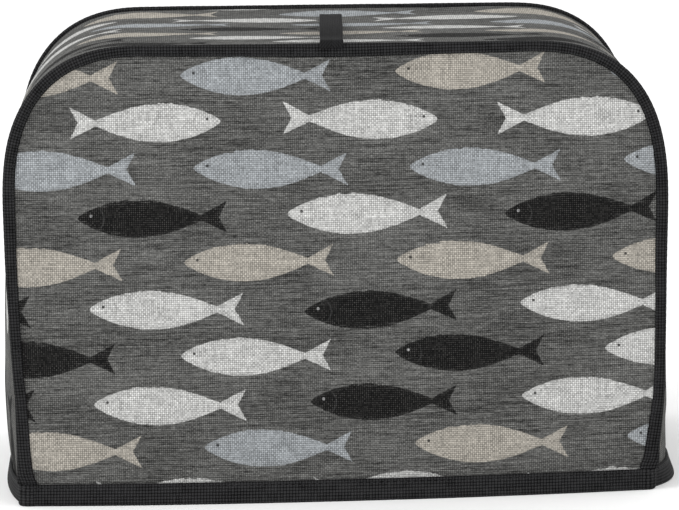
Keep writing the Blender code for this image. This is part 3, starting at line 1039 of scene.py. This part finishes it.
def make_hem(name, node, material):
    full_out, full_in = hem_section()
    section = full_out + full_in[::-1]
    lines = {}
    count, n = len(HEM_LOOP), len(section)
    points = np.zeros((count, n, 3))
    base, _ = hem_line(HEM_Z / 2)
    run = np.concatenate([[0], np.cumsum(np.linalg.norm(np.diff(base, axis=0, append=base[:1]), axis=1))])
    total = run[-1]
    stitches_round = round(total / 3.0)
    phase = 2 * math.pi * run[:-1] / total * stitches_round
    puff = -np.cos(phase)
    slow = hem_slow(run[:-1], 0.0)
    fade = np.minimum(1.0, np.minimum(run[:-1], total - run[:-1]) / 30.0)
    for k, (out, z) in enumerate(section):
        key = round(z, 4)
        if key not in lines:
            line, flare = hem_line(z)
            d = np.roll(line, -1, 0) - np.roll(line, 1, 0)
            d /= np.linalg.norm(d, axis=1, keepdims=True)
            lines[key] = line, flare, np.stack([d[:, 1], -d[:, 0]], 1)
        line, flare, normal = lines[key]
        o = np.full(count, out)
        outer_face = k < len(full_out) // 2
        low = np.clip(1 - z / HEM_Z, 0, 1)
        if out > 0:
            o = o + flare * low * (1.0 if outer_face else 0.85)
        if outer_face:
            o = o + 0.05 * puff * math.exp(-(((z - 7.9) / 1.6) ** 2)) + 0.06 * slow * fade
        points[:, k, :2] = line + o[:, None] * normal
        points[:, k, 2] = z
    step = np.linalg.norm(np.diff(np.array(section + [section[0]]), axis=0), axis=1)
    across_it = np.concatenate([[0], np.cumsum(step)])
    uv = np.stack(np.meshgrid(run, across_it, indexing="ij"), -1) * MM
    uv += 0.005
    obj = tube_piece(name, points, uv, [material], True, flip=True, angle=50.0)
    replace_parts(obj, node)

    # one row of stitches outside, one inside
    marks = (np.arange(stitches_round) + 0.5) / stitches_round * total
    pieces = []
    for word, sign in (("outside", 1), ("inside", -1)):
        line, flare = hem_line(7.9)
        d = np.roll(line, -1, 0) - np.roll(line, 1, 0)
        d /= np.linalg.norm(d, axis=1, keepdims=True)
        normal = np.stack([d[:, 1], -d[:, 0]], 1)
        lift = CLOTH / 2 + HEM_GAP + HEM_TAPE - 0.32
        face = line + sign * normal * (lift + (flare * (1 - 7.9 / HEM_Z))[:, None] * (sign > 0))
        loop = np.concatenate([face, face[:1]])
        normals = np.concatenate([normal, normal[:1]])
        p = np.stack([np.interp(marks, run, loop[:, q]) for q in (0, 1)], 1)
        nrm = unit(np.stack([np.interp(marks, run, normals[:, q]) for q in (0, 1)], 1))
        tangent = np.stack([-nrm[:, 1], nrm[:, 0], np.zeros(len(p))], 1)
        place = bend(np.concatenate([p, np.full((len(p), 1), 7.9)], 1))
        pieces.append(
            stitch_piece(
                f"{name}_stitches_{word}",
                place,
                tangent,
                np.concatenate([sign * nrm, np.zeros((len(p), 1))], 1),
                thread,
            )
        )
    return obj, pieces


# ------------------------------------------------------------------ strap
def strap_underside(back):
    middle = (STRAP_RISE_FROM + STRAP_RISE_TO) / 2
    reach = (STRAP_RISE_TO - STRAP_RISE_FROM) / 2
    t = np.minimum(1.0, np.abs(back - middle) / reach)
    return GAP + (STRAP_CREST - GAP) * (1 - t**3)


def top_face(y):
    return TOP_Z - SEAM_RISE + TOP_SAG * swell_share(np.array(-1), y)


def strap_line(back):
    y = back - DEPTH / 2
    t = (back - STRAP_START) / (STRAP_END - STRAP_START)
    x = STRAP_X_START + (STRAP_X_END - STRAP_X_START) * t
    return np.stack([x, y, top_face(y) + strap_underside(back)], -1)


def strap_run():
    """The strap's underside: up over the roll of the front seam, then along the loop to its far end."""
    middle, radius = 0.6, 2.0
    centre = 200.04
    turn = np.radians(np.linspace(184.0, 92.0, 14))
    roll = np.stack([middle + radius * np.cos(turn), centre + radius * np.sin(turn)], 1)
    join = 19.0
    along = np.linspace(0.0, 1.0, 26)[1:-1]
    end = strap_line(np.array([join, join + 0.5]))
    slope = (end[1, 2] - end[0, 2]) / 0.5
    z0, z1, span = roll[-1, 1], end[0, 2], join - roll[-1, 0]
    rise = (
        (1 + 2 * along) * (1 - along) ** 2 * z0
        + along**2 * (3 - 2 * along) * z1
        + along**2 * (along - 1) * span * slope
    )
    lead = np.stack([roll[-1, 0] + span * along, rise], 1)
    back = np.linspace(join, STRAP_END, 170)
    rest = np.stack([back, strap_line(back)[:, 2]], 1)
    path = np.concatenate([roll, lead, rest])
    t = (path[:, 0] - STRAP_START) / (STRAP_END - STRAP_START)
    x = STRAP_X_START + (STRAP_X_END - STRAP_X_START) * t
    line = np.stack([x, path[:, 0] - DEPTH / 2, path[:, 1]], -1)
    d = unit(np.gradient(line, axis=0))
    return line, np.stack([-d[:, 2], d[:, 1]], 1)


def make_strap(name, node, material):
    line, normal = strap_run()
    # half the section, from the middle of the top face round the edge to the middle of the underside
    w, h = STRAP_WIDTH / 2, STRAP_THICK
    top_half = [(w * t, h - 0.06 * (1 - t) + 0.0) for t in np.linspace(0, 0.84, 7)]
    top_half += [(w - 0.28, h), (w - 0.08, h - 0.16), (w, h - 0.45), (w, 0.45)]
    low_half = [(w - 0.08, 0.16), (w - 0.28, 0.0)] + [
        (w * t, 0.0) for t in np.linspace(0.84, 0, 7)
    ]
    half = top_half + low_half
    # outer points run over the top from the left edge to the right edge, inner ones back below
    outer = [(-x, z) for x, z in top_half[:0:-1]] + top_half
    inner = [(-x, z) for x, z in low_half[:-1]][::1]
    section = outer + low_half + [(-x, z) for x, z in low_half[-2::-1]]
    section = np.array(section)
    run = np.concatenate([[0], np.cumsum(np.linalg.norm(np.diff(line, axis=0), axis=1))])
    ends = np.minimum(1.0, np.minimum(run, run[-1] - run) / 0.8)
    squeeze = 0.35 + 0.65 * np.sqrt(np.maximum(ends, 0.0))
    points = np.zeros((len(run), len(section), 3))
    points[..., 0] = line[:, None, 0] + section[None, :, 0]
    centre = h / 2
    lift = centre + (section[None, :, 1] - centre) * squeeze[:, None]
    points[..., 1] = line[:, None, 1] + lift * normal[:, :1]
    points[..., 2] = line[:, None, 2] + lift * normal[:, 1:]
    wide = np.concatenate([section[:, 0], section[:1, 0]])
    uv = np.zeros((len(run), len(section) + 1, 2))
    uv[..., 0] = wide[None, :]
    uv[..., 1] = run[:, None] + 10
    uv *= MM
    nu, nv = points.shape[:2]
    faces, corner_uv = grid_faces(nu, nv, uv, wrap_v=True, flip=False)
    faces, corner_uv = list(faces), list(corner_uv)
    for base, turned, i in ((0, True, 0), ((nu - 1) * nv, False, nu - 1)):
        ring = list(range(nv))
        if turned:
            ring.reverse()
        faces.append([base + q for q in ring])
        corner_uv.append(np.array([uv[i, q] for q in ring]))
    mesh = mesh_of(name, bend(points).reshape(-1, 3), faces, np.concatenate([np.asarray(c).reshape(-1, 2) for c in corner_uv]))
    obj = link(name, mesh, [material], 50.0)
    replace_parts(obj, node)

    # stitched down at its far end: a square of stitches
    w_in, far, near = STRAP_WIDTH / 2 - 1.3, STRAP_END - 1.6, STRAP_END - 9.6
    runs = [
        ((-w_in, near), (w_in, near)),
        ((w_in, near), (w_in, far)),
        ((w_in, far), (-w_in, far)),
        ((-w_in, far), (-w_in, near)),
    ]

    def on_top(side_x, at_back):
        p = strap_line(np.asarray(at_back, float))
        p = p + np.stack(
            [np.asarray(side_x, float), np.zeros_like(p[..., 0]), np.full_like(p[..., 0], STRAP_THICK - 0.1)], -1
        )
        return bend(p)

    places, tangents, normals = [], [], []
    for (x0, b0), (x1, b1) in runs:
        length = math.hypot(x1 - x0, b1 - b0)
        n = max(2, round(length / 2.6))
        t = (np.arange(n) + 0.5) / n
        xs, bs = x0 + (x1 - x0) * t, b0 + (b1 - b0) * t
        dx, db = (x1 - x0) / length * 0.4, (b1 - b0) / length * 0.4
        places.append(on_top(xs, bs))
        tangents.append(unit(on_top(xs + dx, bs + db) - on_top(xs - dx, bs - db)))
        sideways = unit(on_top(xs - db, bs + dx) - on_top(xs + db, bs - dx))
        up_way = unit(np.cross(tangents[-1], sideways))
        normals.append(up_way * np.sign(up_way[:, 2:3]))
    stitches = stitch_piece(
        name + "_stitches",
        np.concatenate(places),
        np.concatenate(tangents),
        np.concatenate(normals),
        thread,
        length=2.0,
        width=0.4,
    )
    return obj, stitches


# ------------------------------------------------------------------ put together
front = make_panel("front_cloth", "front_panel", -1, [front_print, front_reverse])
back = make_panel("back_cloth", "back_panel", 1, [back_print, back_reverse])
gusset = make_gusset("gusset_cloth", "gusset", [side_print, side_reverse])
front_tape, front_stitches = make_binding("front_seam_tape", "front_binding", -1, tape_front)
back_tape, back_stitches = make_binding("back_seam_tape", "back_binding", 1, tape_back)
hem, hem_stitches = make_hem("hem_tape", "hem_band", tape_hem)
strap, strap_stitches = make_strap("lifting_strap", "top_strap", webbing)

for obj, slot in (
    (front, "canvas_front"),
    (back, "canvas_back"),
    (gusset, "canvas_gusset"),
    (front_tape, "tape_front_seam"),
    (front_stitches, "tape_front_seam"),
    (back_tape, "tape_back_seam"),
    (back_stitches, "tape_back_seam"),
    (hem, "tape_hem"),
    (hem_stitches[0], "tape_hem"),
    (hem_stitches[1], "tape_hem"),
    (strap, "webbing_strap"),
    (strap_stitches, "webbing_strap"),
):
    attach(obj, "root")


# ------------------------------------------------------------------ floor and light
floor_mesh = bpy.data.meshes.new("floor")
floor_mesh.from_pydata(
    [(-9, -5, 0), (9, -5, 0), (9, 14, 0), (-9, 14, 0)], [], [(0, 1, 2, 3)]
)
floor = bpy.data.objects.new("floor", floor_mesh)
bpy.context.scene.collection.objects.link(floor)
floor_graph = Graph("pale_floor")
floor_graph.finish((0.96, 0.96, 0.96, 1.0), 0.9, specular=0.1)
floor_mesh.materials.append(floor_graph.material)

world = bpy.data.worlds.new("studio")
bpy.context.scene.world = world
world.use_nodes = True
world.node_tree.nodes["Background"].inputs[0].default_value = (1.0, 1.0, 1.0, 1.0)
world.node_tree.nodes["Background"].inputs[1].default_value = 1.15


def softbox(name, place, aim, size, power):
    data = bpy.data.lights.new(name, "AREA")
    data.shape = "RECTANGLE"
    data.size, data.size_y = size
    data.energy = power
    obj = bpy.data.objects.new(name, data)
    obj.location = place
    obj.rotation_euler = (Vector(aim) - Vector(place)).to_track_quat("-Z", "Y").to_euler()
    bpy.context.scene.collection.objects.link(obj)


softbox("key", (-1.7, -0.8, 1.4), (0, 0, 0.12), (0.9, 0.9), 16.0)
softbox("fill", (1.2, -1.9, 0.9), (0, 0, 0.1), (1.2, 1.2), 4.0)

bpy.context.view_layer.update()
